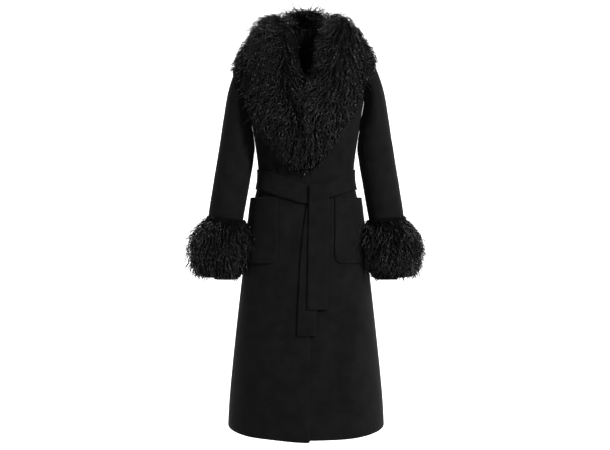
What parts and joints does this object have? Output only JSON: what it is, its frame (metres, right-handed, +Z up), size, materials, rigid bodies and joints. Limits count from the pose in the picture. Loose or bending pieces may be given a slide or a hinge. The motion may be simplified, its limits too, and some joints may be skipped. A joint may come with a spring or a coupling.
{
  "type": "long belted wool coat with fur collar and cuffs",
  "caption": "Long black belted wool coat, worn form with no wearer: shaggy fur shawl collar and cuffs, patch pockets, tied belt with hanging ends.",
  "frame": {"origin": "where the wearer's shoulders carry the coat: level with the nape, on the centre line, in the plane of the side and shoulder seams", "axes": "+Z up along the wearer's back, -Y towards the front, +X towards the wearer's left"},
  "size_m": [0.6708, 0.3611, 1.2215],
  "materials": {
    "wool": "matte felted wool cloth, near black",
    "fur": "long curly fur, black with soft highlights"
  },
  "bodies": {
    "root": {"front_right": "wool", "front_left": "wool", "back_right": "wool", "back_left": "wool", "belt_band": "wool", "belt_front_tail": "wool", "belt_back_tail": "wool", "sleeve_top_right": "wool", "sleeve_top_left": "wool", "sleeve_under_right": "wool", "sleeve_under_left": "wool", "neck_facing_right": "wool", "neck_facing_left": "wool", "pocket_right": "wool", "pocket_left": "wool", "fur_collar_right": "fur", "fur_collar_left": "fur", "fur_cuff_right": "fur", "fur_cuff_left": "fur"}
  },
  "joints": []
}
